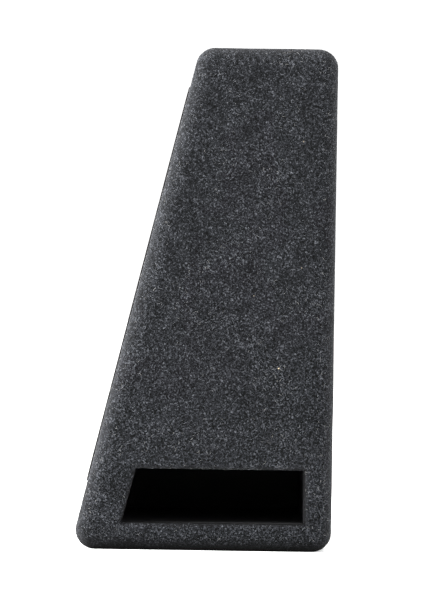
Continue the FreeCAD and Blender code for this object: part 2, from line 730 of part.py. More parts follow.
def lead_path(points):
    """Straight runs joined by tangent arcs, as large as their two runs allow."""
    edges = []
    previous = points[0]
    for i in range(1, len(points) - 1):
        back, ahead = points[i - 1] - points[i], points[i + 1] - points[i]
        cut = 0.45 * min(back.Length, ahead.Length)
        half_turn = (math.pi - back.getAngle(ahead)) / 2
        radius = cut / math.tan(half_turn)
        into, out = back.normalize() * cut + points[i], ahead.normalize() * cut + points[i]
        bisector = ((into + out) * 0.5 - points[i]).normalize()
        centre = points[i] + bisector * (radius / math.cos(half_turn))
        on_arc = centre - bisector * radius
        print(f"   lead bend {i}: radius {radius:.1f}")
        edges.append(Part.makeLine(previous, into))
        edges.append(Part.Arc(into, on_arc, out).toShape())
        previous = out
    edges.append(Part.makeLine(previous, points[-1]))
    return Part.Wire(edges)


def make_leads(lug_z, tabs_z):
    """One insulated lead from each solder lug to its tab on the driver."""
    cup, driver = cup_place(), driver_place()
    for name, side in (("positive_lead", 1), ("negative_lead", -1)):
        start = cup.multVec(Vector(side * POST_SPACING / 2, LEAD_ON_LUG - LUG_REACH, lug_z - LUG_THICKNESS))
        end = driver.multVec(Vector(side * TAB_X, TAB_END, tabs_z))
        leave = start - Vector(0, LEAD_END_RUNS[0], 0)
        arrive = end + Vector(0, LEAD_END_RUNS[1], 0)
        span = arrive - leave
        drop = Vector(0, 0, -LEAD_SAGS[0] if side > 0 else -LEAD_SAGS[1])
        points = [start, leave, leave + span * 0.35 + drop, leave + span * 0.7 + drop * 0.6, arrive, end]
        path = lead_path(points)
        circle = Part.Wire(Part.makeCircle(LEAD_RADIUS, start, Vector(0, -1, 0)))
        tube = path.makePipeShell([circle], True, False)
        export(name, Part.Solid(tube) if not tube.Solids else tube.Solids[0])
        ideal = math.pi * LEAD_RADIUS**2 * path.Length
        print(f"   {name}: length {path.Length:.1f}, volume / ideal {tube.Volume / ideal:.4f}")


def main():
    os.makedirs("parts", exist_ok=True)
    wood, slot_end = make_boards()
    make_carpet(wood, slot_end)
    make_grille()
    front = make_driver_frame()
    make_surround(front)
    make_moving_parts(front)
    tabs_z = make_driver_terminals(front)
    make_leads(make_terminal_cup(), tabs_z)


main()
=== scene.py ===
"""Looks of a carpeted, wedge-shaped subwoofer box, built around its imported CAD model.

Laid out as an add-on: settings, one operator for each group of pieces, and a panel that lists them. Metres.
"""

import json
import math

import bmesh
import bpy
from bpy.props import FloatProperty, FloatVectorProperty, IntProperty, PointerProperty
from mathutils import Matrix, Vector, noise

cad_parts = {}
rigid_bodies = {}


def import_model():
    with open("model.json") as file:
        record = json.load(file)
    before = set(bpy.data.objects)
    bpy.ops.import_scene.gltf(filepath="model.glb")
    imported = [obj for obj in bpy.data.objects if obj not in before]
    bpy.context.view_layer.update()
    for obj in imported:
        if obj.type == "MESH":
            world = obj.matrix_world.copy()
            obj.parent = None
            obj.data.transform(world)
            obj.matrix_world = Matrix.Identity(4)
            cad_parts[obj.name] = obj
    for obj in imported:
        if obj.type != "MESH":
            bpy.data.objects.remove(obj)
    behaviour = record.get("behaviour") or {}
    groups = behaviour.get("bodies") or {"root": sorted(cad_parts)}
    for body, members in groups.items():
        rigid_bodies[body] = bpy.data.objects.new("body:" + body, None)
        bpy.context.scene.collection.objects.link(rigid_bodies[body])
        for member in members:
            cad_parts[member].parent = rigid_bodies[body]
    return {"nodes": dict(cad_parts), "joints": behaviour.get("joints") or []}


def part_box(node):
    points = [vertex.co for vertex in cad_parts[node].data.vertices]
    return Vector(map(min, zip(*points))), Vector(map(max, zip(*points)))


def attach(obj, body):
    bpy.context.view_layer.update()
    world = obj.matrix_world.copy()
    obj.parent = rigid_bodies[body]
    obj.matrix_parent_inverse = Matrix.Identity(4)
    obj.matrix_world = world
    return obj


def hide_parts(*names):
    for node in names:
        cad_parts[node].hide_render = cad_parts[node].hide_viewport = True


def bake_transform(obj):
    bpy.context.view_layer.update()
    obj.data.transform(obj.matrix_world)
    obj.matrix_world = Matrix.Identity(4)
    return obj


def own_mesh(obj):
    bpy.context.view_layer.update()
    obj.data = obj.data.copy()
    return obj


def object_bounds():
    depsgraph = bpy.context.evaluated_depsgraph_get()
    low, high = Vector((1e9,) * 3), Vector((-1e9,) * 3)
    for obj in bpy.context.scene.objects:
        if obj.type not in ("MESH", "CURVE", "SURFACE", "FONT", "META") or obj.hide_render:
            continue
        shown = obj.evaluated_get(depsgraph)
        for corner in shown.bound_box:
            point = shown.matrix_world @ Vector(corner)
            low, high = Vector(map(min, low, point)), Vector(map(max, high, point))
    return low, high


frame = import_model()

bl_info = {
    "name": "Wedge Subwoofer Box",
    "version": (1, 0, 0),
    "blender": (4, 5, 0),
    "location": "3D View > Sidebar > Subwoofer Box",
    "description": "Felt, driver, grille, terminals and studio for a carpeted wedge-shaped subwoofer box",
    "category": "Object",
}

CAD_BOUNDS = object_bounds()
MM = 0.001
ENCLOSURE = "enclosure"
CONE_BODY = "cone_assembly"
AXES = (Vector((1, 0, 0)), Vector((0, 1, 0)), Vector((0, 0, 1)))

# how far from a crease the felt is cut, and the last one is where the dip ends
CREASE_CUTS = (0.5 * MM, 1.2 * MM, 2.4 * MM, 4.5 * MM)
# sizes of the felt's broad and close unevenness, with their shares of the height
FELT_WAVES = (34 * MM, 7 * MM)
FELT_SHARES = (0.7, 0.3)
# the two directions in which the mitres leave the slot's lower corners
MITRE_DIRECTIONS = ((-0.87, 0, -0.5), (0.75, 0, -0.66))
LIP_LAYERS = (1 * MM, 2 * MM, 3 * MM, 4 * MM)
LIP_REACH = 6 * MM
LIP_TURN = (0.3 * MM, 4.5 * MM)
FIBRE_FLOOR_GAP = 8 * MM
FIBRE_ARC = math.radians(110)
FIBRE_TILT = math.radians(16)
FIBRE_SIZES = (0.6, 1.3)
WRAP_FIBRE_SPACING = 1.9
GLOSS_SPREAD = 0.07
CONE_WALL = 1.2 * MM
CONE_LAP = 4 * MM
NECK_STEP = 1.5 * MM
# the surround's roll starts this far outside the cone's edge and inside the trim ring's
ROLL_INSETS = (0.6 * MM, 8 * MM)
ROLL_FEET = (3 * MM, 1 * MM)
ROLL_HEIGHT = 7 * MM
# a moulded ring as (height, place as a share of the radius, width)
CONE_BEAD = (0.5 * MM, 0.8, 2.2 * MM)
CAP_RING = (0.4 * MM, 0.62, 1.6 * MM)
CAP_SKIN = 0.6 * MM
SPRING_WIRE = 0.35 * MM
SPRING_TURNS = 4.5
SIGN_SIZE = (2.6 * MM, 0.9 * MM, 0.35 * MM)
SIGN_DROP = 5 * MM
SIGN_BEVEL = 0.12 * MM
# name, place, width and height, and the setting that holds the power
SOFTBOXES = (
    ("left_softbox", (-1.6, -0.3, 0.7), (2.2, 1.4), "left_power"),
    ("right_softbox", (1.5, 0.1, 0.6), (1.0, 1.2), "right_power"),
    ("top_softbox", (0.0, -0.5, 1.15), (1.2, 0.8), "top_power"),
)
SPIDER_WALL = 0.5 * MM
SPIDER_RISE = 1.5 * MM
SPIDER_FLATS = (3.5 * MM, 8.5 * MM)


# ---------------------------------------------------------------- places, taken from the frame


def joint_axis(name):
    """The direction in which a joint's slide moves its body."""
    return Vector(next(j["axis"] for j in frame["joints"] if j["name"] == name)).normalized()


def middle(node):
    low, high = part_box(node)
    return (Vector(low) + Vector(high)) / 2


def driver_matrix():
    """Local z runs out along the driver's axis from the magnet's middle, and y runs along the box."""
    out = joint_axis("cone_travel")
    along = Vector((0, 1, 0))
    up = along.cross(out)
    turn = Matrix((up, along, out)).transposed().to_4x4()
    return Matrix.Translation(middle("magnet")) @ turn


def disc(node):
    """A round node on the driver's axis, as its lowest and highest local z and its radius."""
    out = joint_axis("cone_travel")
    low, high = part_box(node)
    width, height = high[0] - low[0], high[2] - low[2]
    c, s = abs(out.x), abs(out.z)
    thickness = (width * c - height * s) / (c * c - s * s)
    radius = (height * c - width * s) / (c * c - s * s) / 2
    centre = (middle(node) - middle("magnet")).dot(out)
    return centre - thickness / 2, centre + thickness / 2, radius


# ---------------------------------------------------------------- mesh helpers


def finish_piece(name, mesh, body, material, replaces=(), smooth_angle=35.0):
    """Links a finished mesh at the origin, with its body and the nodes that it stands for.

    A piece given no body is left unattached.
    """
    piece = bpy.data.objects.new(name, mesh)
    bpy.context.scene.collection.objects.link(piece)
    mesh.materials.clear()
    mesh.materials.append(material)
    mesh.shade_smooth()
    mesh.set_sharp_from_angle(angle=math.radians(smooth_angle))
    if body:
        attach(piece, body)
    if replaces:
        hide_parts(*replaces)
    return piece


def mesh_from(bm, name, matrix=None):
    if matrix is not None:
        bm.transform(matrix)
    mesh = bpy.data.meshes.new(name)
    bm.to_mesh(mesh)
    bm.free()
    return mesh


def lathe(profile, steps=128):
    """A closed solid of revolution about z, from a closed loop of (radius, height) points."""
    bm = bmesh.new()
    ring = [bm.verts.new((radius, 0, height)) for radius, height in profile]
    edges = [bm.edges.new((a, b)) for a, b in zip(ring, ring[1:] + ring[:1])]
    bmesh.ops.spin(
        bm,
        geom=ring + edges,
        cent=(0, 0, 0),
        axis=(0, 0, 1),
        angle=2 * math.pi,
        steps=steps,
        use_merge=True,
    )
    bmesh.ops.remove_doubles(bm, verts=bm.verts, dist=1e-6)
    bmesh.ops.recalc_face_normals(bm, faces=bm.faces)
    return bm


def smoothstep(value, low, high):
    t = min(max((value - low) / (high - low), 0.0), 1.0)
    return t * t * (3 - 2 * t)


# ---------------------------------------------------------------- material helpers


def to_linear(code):
    """An sRGB hex colour as linear red, green, blue and alpha."""
    channels = [int(code[i : i + 2], 16) / 255 for i in (1, 3, 5)]
    linear = [c / 12.92 if c <= 0.04045 else ((c + 0.055) / 1.055) ** 2.4 for c in channels]
    return (*linear, 1.0)


def add(tree, kind, inputs=None, **settings):
    """Adds a node. Each input is a value, or another node's output socket to link."""
    made = tree.nodes.new(kind)
    for name, value in settings.items():
        setattr(made, name, value)
    for key, value in (inputs or {}).items():
        if isinstance(value, bpy.types.NodeSocket):
            tree.links.new(value, made.inputs[key])
        else:
            made.inputs[key].default_value = value
    return made


def compute(tree, operation, *values):
    """The result of a maths node."""
    return add(tree, "ShaderNodeMath", dict(enumerate(values)), operation=operation).outputs["Value"]


def remap(tree, value, old, new, **settings):
    """A value carried from one (low, high) range to another."""
    inputs = {"Value": value, "From Min": old[0], "From Max": old[1], "To Min": new[0], "To Max": new[1]}
    return add(tree, "ShaderNodeMapRange", inputs, **settings).outputs["Result"]


def ramp(tree, factor, stops):
    """A colour ramp over a factor, from (position, hex colour) stops."""
    made = add(tree, "ShaderNodeValToRGB", {"Fac": factor})
    elements = made.color_ramp.elements
    for i, (position, code) in enumerate(stops):
        element = elements[i] if i < 2 else elements.new(position)
        element.position = position
        element.color = to_linear(code)
    return made.outputs["Color"]


def start_material(name):
    """A new material with a Principled shader wired to its output, and the piece's object coordinates."""
    material = bpy.data.materials.new(name)
    material.use_nodes = True
    tree = material.node_tree
    tree.nodes.clear()
    shader = add(tree, "ShaderNodeBsdfPrincipled")
    add(tree, "ShaderNodeOutputMaterial", {"Surface": shader.outputs["BSDF"]})
    place = add(tree, "ShaderNodeTexCoord").outputs["Object"]
    return material, tree, shader, place


def set_shader(tree, shader, **inputs):
    """Sets sockets by name, with underscores for spaces: a value, or a socket to link."""
    for key, value in inputs.items():
        socket = shader.inputs[key.replace("_", " ")]
        if isinstance(value, bpy.types.NodeSocket):
            tree.links.new(value, socket)
        else:
            socket.default_value = value


def grain(tree, place, size_mm, detail=2.0, roughness=0.5, distortion=0.0):
    """Noise whose features are about size_mm across."""
    return add(
        tree,
        "ShaderNodeTexNoise",
        {
            "Vector": place,
            "Scale": 1.0 / (size_mm * MM),
            "Detail": detail,
            "Roughness": roughness,
            "Distortion": distortion,
        },
    ).outputs["Fac"]


def relief(tree, height, depth_mm, strength=1.0, below=None):
    inputs = {"Height": height, "Distance": depth_mm * MM, "Strength": strength}
    if below is not None:
        inputs["Normal"] = below
    return add(tree, "ShaderNodeBump", inputs).outputs["Normal"]


# ---------------------------------------------------------------- materials


def needle_felt(settings):
    """Needle-punched polyester carpet: black, grey and a few pale fibres, matted into a heather."""
    material, tree, shader, place = start_material("needle_punched_polyester_felt")
    # fibres are too fine to show, so tufts of them are drawn 1.35 to 3 mm across
    tufts = grain(tree, place, 1.35, detail=3.0, roughness=0.65, distortion=0.9)
    strands = grain(tree, place, 3.0, detail=4.0, roughness=0.78, distortion=2.0)
    mixed = compute(tree, "ADD", tufts, strands)
    half = compute(tree, "MULTIPLY", mixed, 0.5)
    heather = ramp(
        tree,
        half,
        [(0.4, "#010101"), (0.65, "#4d4f53"), (0.47, "#08090a"), (0.54, "#1a1b1e")],
    )
    # slow drift of the blend from one part of the sheet to another
    drift = grain(tree, place, 14.0, detail=4.0, roughness=0.65)
    shade = remap(tree, drift, (0.3, 0.7), (0.7, 1.3))
    # painted shade: the felt darkens towards the floor, where the foot is in shadow
    height = add(tree, "ShaderNodeSeparateXYZ", {"Vector": place}).outputs["Z"]
    foot = remap(tree, height, (0.0, settings.foot_shade_height), (0.0, 1.0), interpolation_type="SMOOTHSTEP")
    # painted shade: the felt darkens as it turns into the slot, where shade falls
    slot_shade = add(tree, "ShaderNodeAttribute", attribute_name="mouth").outputs["Fac"]
    outside_slot_shade = compute(tree, "SUBTRACT", 1.0, slot_shade)
    # the two painted shades together, which also damp the sheen
    unshaded = compute(tree, "MULTIPLY", foot, outside_slot_shade)
    fuzz = compute(tree, "MULTIPLY", unshaded, settings.sheen)
    shade = compute(tree, "MULTIPLY", shade, unshaded)
    toned = add(
        tree,
        "ShaderNodeVectorMath",
        {0: heather, "Scale": shade},
        operation="SCALE",
    ).outputs["Vector"]
    # now and then a knot of undyed fibre
    cells = add(tree, "ShaderNodeTexVoronoi", {"Vector": place, "Scale": 1 / (9.0 * MM)})
    rare = add(tree, "ShaderNodeSeparateColor", {"Color": cells.outputs["Color"]}).outputs["Red"]
    chosen = compute(tree, "GREATER_THAN", rare, 0.985)
    near = compute(tree, "LESS_THAN", cells.outputs["Distance"], 0.06)
    knot = compute(tree, "MULTIPLY", chosen, near)
    colour = add(
        tree,
        "ShaderNodeMix",
        {"Factor": knot, "A": toned, "B": to_linear("#5f584d")},
        data_type="RGBA",
    )
    set_shader(
        tree,
        shader,
        Base_Color=colour.outputs["Result"],
        Roughness=0.95,
        Sheen_Weight=fuzz,
        Sheen_Roughness=0.45,
        Sheen_Tint=to_linear("#cdcdd0"),
        Normal=relief(tree, half, 1.1, 0.9, relief(tree, drift, 0.8, 0.5)),
    )
    shader.inputs["Specular IOR Level"].default_value = 0.06
    return material


def loose_fibre():
    """Single polyester fibres that stand out of the felt, from black to undyed."""
    material, tree, shader, _ = start_material("loose_polyester_fibre")
    tone = add(tree, "ShaderNodeAttribute", attribute_name="tone").outputs["Fac"]
    colour = ramp(
        tree,
        tone,
        [(0.0, "#101114"), (1.0, "#807e7a"), (0.55, "#33363b"), (0.86, "#606368")],
    )
    set_shader(tree, shader, Base_Color=colour, Roughness=0.7, Sheen_Weight=0.25)
    shader.inputs["Specular IOR Level"].default_value = 0.2
    return material


def fibreboard():
    """MDF: flat tan board with fine fibre specks, sprayed matt black in the duct and round the driver."""
    material, tree, shader, place = start_material("medium_density_fibreboard")
    specks = grain(tree, place, 0.9, detail=4.0, roughness=0.7)
    board = ramp(tree, specks, [(0.3, "#8a6a47"), (0.7, "#b8956a")])
    height = add(tree, "ShaderNodeSeparateXYZ", {"Vector": place}).outputs["Z"]
    duct_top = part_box("port_shelf")[0][2] + 0.5 * MM
    in_duct = compute(tree, "LESS_THAN", height, duct_top)
    seat = driver_matrix()
    local = add(
        tree,
        "ShaderNodeMapping",
        {"Vector": place, "Location": seat.translation, "Rotation": seat.to_euler()},
        vector_type="TEXTURE",
    ).outputs["Vector"]
    flat = add(
        tree, "ShaderNodeVectorMath", {0: local, 1: (1.0, 1.0, 0.0)}, operation="MULTIPLY"
    ).outputs["Vector"]
    radius = add(tree, "ShaderNodeVectorMath", {0: flat}, operation="LENGTH").outputs["Value"]
    opening = disc("trim_ring")[2] + 20 * MM
    at_driver = compute(tree, "LESS_THAN", radius, opening)
    painted = compute(tree, "MAXIMUM", in_duct, at_driver)
    colour = add(
        tree, "ShaderNodeMix", {"Factor": painted, "A": board, "B": to_linear("#262629")}, data_type="RGBA"
    ).outputs["Result"]
    set_shader(tree, shader, Base_Color=colour, Roughness=0.85, Normal=relief(tree, specks, 0.15, 0.5))
    return material


def speckled(name, dark, light, size_mm, depth_mm, roughness, metallic=0.0, strength=0.6, **more):
    """A moulded, painted or plated surface with fine unevenness in its colour, gloss and height."""
    material, tree, shader, place = start_material(name)
    fine = grain(tree, place, size_mm, detail=3.0, roughness=0.6)
    broad = grain(tree, place, size_mm * 18, detail=2.0)
    both = compute(tree, "MULTIPLY", fine, broad)
    glossy, dull = max(roughness - GLOSS_SPREAD, 0.05), min(roughness + GLOSS_SPREAD, 1.0)
    gloss = remap(tree, broad, (0.3, 0.7), (glossy, dull))
    set_shader(
        tree,
        shader,
        Base_Color=ramp(tree, both, [(0.12, dark), (0.42, light)]),
        Roughness=gloss,
        Metallic=metallic,
        Normal=relief(tree, fine, depth_mm, strength),
        **more,
    )
    return material


def build_materials(settings):
    """Every finish, by the name that the operators use."""
    return {
        "felt": needle_felt(settings),
        "fibre": loose_fibre(),
        "undyed": speckled("undyed_polyester_tuft", "#6f6350", "#a1957d", 0.3, 0.1, 0.95),
        "mdf": fibreboard(),
        # orange-peel powder coat: low sheen, tiny dimples
        "powder_coat": speckled(
            "textured_powder_coated_steel", "#050506", "#0f0f11", 0.7, 0.08, 0.85, Specular_IOR_Level=0.12
        ),
        # extruded rubber: brown-black and dull
        "edging": speckled(
            "extruded_rubber_edging", "#0c0b0a", "#1b1817", 0.5, 0.05, 0.9, Specular_IOR_Level=0.12
        ),
        "phosphate": speckled("black_phosphate_steel", "#0b0b0c", "#1d1d1f", 0.4, 0.03, 0.5, metallic=0.6),
        "frame_paint": speckled(
            "satin_black_stove_enamel", "#080809", "#141416", 0.8, 0.03, 0.42, Specular_IOR_Level=0.35
        ),
        "butyl": speckled(
            "moulded_butyl_rubber", "#08080a", "#151517", 0.6, 0.03, 0.55, Specular_IOR_Level=0.35
        ),
        # zinc plate: pale grey with a faint blue-gold bloom
        "zinc": speckled("zinc_plated_steel", "#8f9299", "#c9c7bd", 1.2, 0.015, 0.32, metallic=1.0),
        "ferrite": speckled("ground_ferrite", "#1c1c1f", "#34343a", 0.5, 0.05, 0.6),
        # pressed paper pulp with a damping coat: short felted fibres show through
        "pulp": speckled(
            "coated_paper_pulp", "#08080a", "#1b1b1e", 1.1, 0.12, 0.66, Specular_IOR_Level=0.3
        ),
        "foam": speckled("closed_cell_foam", "#141414", "#2b2b2b", 0.6, 0.12, 0.9),
        "cloth": dipped_cotton(),
        "foil": speckled("rolled_aluminium_foil", "#a3a5a8", "#d3d4d6", 1.5, 0.01, 0.3, metallic=1.0),
        "copper": wound_copper(),
        # spark-eroded mould texture on ABS: fine matt grain
        "abs": speckled(
            "spark_textured_abs", "#09090a", "#161618", 0.35, 0.06, 0.58, Specular_IOR_Level=0.3
        ),
        "red_abs": speckled("polished_red_abs", "#8f0d0f", "#b31417", 2.0, 0.01, 0.22),
        "black_abs": speckled("polished_black_abs", "#0a0a0b", "#161618", 2.0, 0.01, 0.22),
        "nickel": speckled("nickel_plated_brass", "#b5ac98", "#ded8ca", 1.0, 0.012, 0.24, metallic=1.0),
        "red_pvc": speckled("extruded_red_pvc", "#8c1113", "#ab191b", 1.2, 0.02, 0.4),
        "black_pvc": speckled("extruded_black_pvc", "#0c0c0d", "#1b1b1c", 1.2, 0.02, 0.4),
    }


def dipped_cotton():
    """Resin-dipped cotton: a plain weave stiffened to a golden brown."""
    material, tree, shader, place = start_material("resin_dipped_cotton")
    turned = add(tree, "ShaderNodeMapping", {"Vector": place})
    # threads are about 0.5 mm apart; drawn at 1 mm so that the weave shows
    waves = [
        add(
            tree,
            "ShaderNodeTexWave",
            {"Vector": turned.outputs["Vector"], "Scale": 1 / (20 * MM), "Distortion": 1.0},
            bands_direction=direction,
        ).outputs["Fac"]
        for direction in ("Y", "Z")
    ]
    weave = compute(tree, "MULTIPLY", waves[0], waves[1])
    colour = ramp(tree, weave, [(0.1, "#6d4c22"), (0.8, "#b98b4a")])
    set_shader(tree, shader, Base_Color=colour, Roughness=0.75, Normal=relief(tree, weave, 0.2, 0.7))
    return material


def wound_copper():
    """Enamelled copper wire: turns side by side under an amber varnish."""
    material, tree, shader, place = start_material("enamelled_copper_wire")
    axis = joint_axis("cone_travel")
    along = add(
        tree, "ShaderNodeVectorMath", {0: place, 1: tuple(axis)}, operation="DOT_PRODUCT"
    ).outputs["Value"]
    # a turn every 0.9 mm
    turns = compute(tree, "MULTIPLY", along, 2 * math.pi / (0.9 * MM))
    ridge = compute(tree, "SINE", turns)
    colour = ramp(tree, ridge, [(0.0, "#5c2410"), (1.0, "#c4672f")])
    set_shader(
        tree, shader, Base_Color=colour, Roughness=0.3, Metallic=0.8, Normal=relief(tree, ridge, 0.2, 0.8)
    )
    shader.inputs["Coat Weight"].default_value = 0.6
    return material


MATERIALS = {}

# which finish each CAD node gets when it is shown as it is
NODE_FINISHES = {
    "mdf": (
        *(side + "_panel" for side in ("slot_end", "terminal_end", "back", "bottom", "top")),
        "outer_baffle",
        "baffle_doubler",
        "port_shelf",
    ),
    "felt": ("carpet_wrap", "carpet_base", "carpet_slot_end", "carpet_terminal_end"),
    "powder_coat": ("grille_plate",),
    "edging": ("grille_edging",),
    "phosphate": ("grille_screws", "driver_screws", "cup_screws"),
    "frame_paint": ("basket",),
    "foam": ("mounting_gasket", "cup_gasket"),
    "butyl": ("trim_ring", "surround"),
    "zinc": ("top_plate", "yoke", "driver_terminals", "red_spring", "black_spring"),
    "ferrite": ("magnet",),
    "pulp": ("cone", "dust_cap"),
    "cloth": ("spider",),
    "foil": ("coil_former",),
    "copper": ("coil_winding",),
    "abs": ("terminal_cup",),
    "red_abs": ("red_button",),
    "black_abs": ("black_button",),
    "nickel": [side + part for part in ("_sleeve", "_plunger", "_lug", "_nut") for side in ("red", "black")],
    "red_pvc": ("positive_lead",),
    "black_pvc": ("negative_lead",),
}


# ---------------------------------------------------------------- settings


def length(name, description, default):
    return FloatProperty(name=name, description=description, default=default, unit="LENGTH", precision=4)


def power(name, description, default):
    return FloatProperty(name=name, description=description, default=default, unit="POWER")


class FeltSettings(bpy.types.PropertyGroup):
    cell: length("Cell", "Size of the felt mesh's cells", 6 * MM)
    relief: length("Relief", "Height of the felt's soft unevenness", 0.35 * MM)
    seam_depth: length("Seam depth", "How far the felt dips at a butt seam", 0.9 * MM)
    mitre_depth: length("Mitre depth", "How far the felt dips at the slot's lower corners", 0.7 * MM)
    mitre_length: length("Mitre length", "Length of the creases at the slot's lower corners", 30 * MM)
    # painted shade: how high the darkening at the felt's foot reaches
    foot_shade_height: length("Foot shade height", "Height to which the felt's foot is darkened", 13 * MM)
    fleck_size: length("Tuft size", "Width of the undyed tuft", 1.3 * MM)
    fleck_inset: length("Tuft inset", "From the back to the undyed tuft", 42 * MM)
    fleck_height: length("Tuft height", "Height of the undyed tuft", 140 * MM)
    sheen: FloatProperty(
        name="Sheen", description="Strength of the fuzz's rim light", default=0.085, subtype="FACTOR"
    )
    fibre_spacing: length("Fibre spacing", "Mean gap between loose fibres", 2.6 * MM)
    fibre_width: length("Fibre width", "Thickness that a loose fibre is drawn at", 0.13 * MM)
    fibre_curl: length("Fibre curl", "Radius of a loose fibre's bend", 1.7 * MM)


class DriverSettings(bpy.types.PropertyGroup):
    ribs: IntProperty(name="Ribs", description="Moulded ribs across the cone", default=24)
    rib_height: length("Rib height", "Height of the cone's ribs", 0.8 * MM)
    roll_wall: length("Roll wall", "Thickness of the surround's rubber", 0.8 * MM)
    waves: IntProperty(name="Spider waves", description="Corrugations in the spider", default=5)


class StageSettings(bpy.types.PropertyGroup):
    camera_distance: length("Camera distance", "From the slot end to the camera", 6.0)
    camera_roll: FloatProperty(
        name="Camera roll",
        description="Tilt of the camera about its own axis",
        default=math.radians(0.886),
        subtype="ANGLE",
    )
    aim_right: length("Aim right", "How far right of the box's middle the camera aims", 5.9 * MM)
    aim_height: length("Aim height", "Height that the camera aims at", 0.1914)
    view_height: length("View height", "Height of the world that fills the picture", 0.4583)
    floor_reach: length("Floor reach", "Half the width of the floor", 60.0)
    sky: FloatProperty(name="Sky", description="Strength of the even light from all round", default=1.2)
    left_power: power("Left light", "Power of the left softbox", 185.0)
    right_power: power("Right light", "Power of the right softbox", 1.5)
    top_power: power("Top light", "Power of the overhead softbox", 29.0)
    backdrop: FloatVectorProperty(
        name="Backdrop", description="Colour of the floor", default=(0.93, 0.93, 0.93), subtype="COLOR"
    )


# ---------------------------------------------------------------- felt


def cut_into_cells(bm, cell, extra):
    """Cuts every face along an even grid, and along extra planes given as (point, normal)."""
    low = Vector([min(v.co[i] for v in bm.verts) for i in range(3)])
    high = Vector([max(v.co[i] for v in bm.verts) for i in range(3)])
    cuts = list(extra)
    for axis in range(3):
        normal = AXES[axis]
        count = int((high[axis] - low[axis]) / cell)
        cuts += [(normal * (low[axis] + (i + 0.5) * cell), normal) for i in range(count)]
    for point, normal in cuts:
        everything = bm.verts[:] + bm.edges[:] + bm.faces[:]
        bmesh.ops.bisect_plane(bm, geom=everything, dist=1e-6, plane_co=point, plane_no=normal)


class Crease:
    """A line along which the felt dips, as at a butt seam or a mitred corner."""

    def __init__(self, point, normal, depth, ends=None):
        self.point = point
        self.normal = normal.normalized()
        self.depth = depth
        self.ends = ends

    def planes(self):
        offsets = [side * gap for side in (-1, 1) for gap in CREASE_CUTS]
        return [(self.point + self.normal * offset, self.normal) for offset in offsets]

    def dip(self, place):
        """How far the felt sinks at a place. A crease with ends fades out towards the second of them."""
        reach = 1.0
        if self.ends:
            start, stop = self.ends
            run = stop - start
            along = (place - start).dot(run) / run.length_squared
            reach = smoothstep(along, -0.1, 0.05) * (1 - smoothstep(along, 0.3, 1.0))
        gap = abs((place - self.point).dot(self.normal))
        return self.depth * reach * (1 - smoothstep(gap, 0.0, CREASE_CUTS[-1]))


def mouth_outline():
    """The slot in the end panel, as its left, right, lower and upper limits at a height z."""
    duct_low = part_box("bottom_panel")[1][2]
    duct_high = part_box("port_shelf")[0][2]
    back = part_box("back_panel")[0][0]
    shelf_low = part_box("port_shelf")[0]
    out = joint_axis("cone_travel")
    slope = out.z / -out.x

    def front(z):
        return shelf_low[0] + (z - shelf_low[2]) * slope

    return duct_low, duct_high, back, front


def mitres(settings):
    """The creases that run from the slot's two lower corners out to the corners of the end panel."""
    low, _, back, front = mouth_outline()
    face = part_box("carpet_slot_end")[0][1]
    corners = Vector((front(low), face, low)), Vector((back, face, low))
    creases = []
    for corner, direction in zip(corners, map(Vector, MITRE_DIRECTIONS)):
        direction.normalize()
        normal = direction.cross(AXES[1])
        ends = (corner, corner + direction * settings.mitre_length)
        creases.append(Crease(corner, normal, settings.mitre_depth, ends))
    return creases


def felt_piece(node, creases, layers, settings):
    """A soft copy of a carpet node: cut fine, gently uneven, and dipped along its creases.

    `layers` are extra planes to cut along, where the felt curves tightly.
    """
    bm = bmesh.new()
    bm.from_mesh(frame["nodes"][node].data)
    bmesh.ops.remove_doubles(bm, verts=bm.verts, dist=1e-6)
    bmesh.ops.dissolve_limit(
        bm, angle_limit=math.radians(0.3), use_dissolve_boundaries=False, verts=bm.verts, edges=bm.edges
    )
    cut_into_cells(bm, settings.cell, layers + [plane for crease in creases for plane in crease.planes()])
    bmesh.ops.triangulate(bm, faces=[f for f in bm.faces if len(f.verts) > 4])
    bm.normal_update()
    floor_level = CAD_BOUNDS[0].z
    centre = (CAD_BOUNDS[0] + CAD_BOUNDS[1]) / 2
    moves = []
    for vert in bm.verts:
        if vert.normal.dot(vert.co - centre) < 0:
            continue
        wide = noise.noise(vert.co / FELT_WAVES[0])
        close = noise.noise(vert.co / FELT_WAVES[1] + Vector((5.0, 1.0, 3.0)))
        uneven = settings.relief * (FELT_SHARES[0] * wide + FELT_SHARES[1] * close)
        rise = uneven - sum(c.dip(vert.co) for c in creases)
        moves.append((vert, along_skin(vert, creases) * rise))
    for vert, move in moves:
        vert.co += move
        vert.co.z = max(vert.co.z, floor_level)
    return mesh_from(bm, node.replace("carpet", "felt"))


def outer_faces(mesh):
    """Marks the faces that look out of the box with 1, for the fibres. The foot has none, so that its
    painted shade stays dark.
    """
    low, high = CAD_BOUNDS
    centre = (low + high) / 2
    mark = mesh.attributes.new("outside", "FLOAT", "FACE")
    for polygon in mesh.polygons:
        away = polygon.center - centre
        facing = polygon.normal.dot(away) > 0.03
        in_foot_shade = polygon.center.z < low.z + FIBRE_FLOOR_GAP
        mark.data[polygon.index].value = 1.0 if facing and not in_foot_shade else 0.0


def fibre_mesh(settings):
    """One loose fibre: a thin three-sided strand bent into an arc, lying in the xy plane."""
    bm = bmesh.new()
    made = bmesh.ops.create_circle(bm, cap_ends=True, segments=3, radius=settings.fibre_width / 2)
    bmesh.ops.rotate(bm, verts=made["verts"], cent=(0, 0, 0), matrix=Matrix.Rotation(math.pi / 2, 3, "X"))
    bmesh.ops.translate(bm, verts=made["verts"], vec=(settings.fibre_curl, 0, 0))
    bmesh.ops.spin(
        bm,
        geom=bm.faces[:],
        cent=(0, 0, 0),
        axis=(0, 0, 1),
        angle=FIBRE_ARC,
        steps=3,
        use_merge=False,
    )
    bmesh.ops.recalc_face_normals(bm, faces=bm.faces)
    bmesh.ops.translate(bm, verts=bm.verts, vec=(-0.4 * settings.fibre_curl, -0.7 * settings.fibre_curl, 0))
    return mesh_from(bm, "fibre_strand")


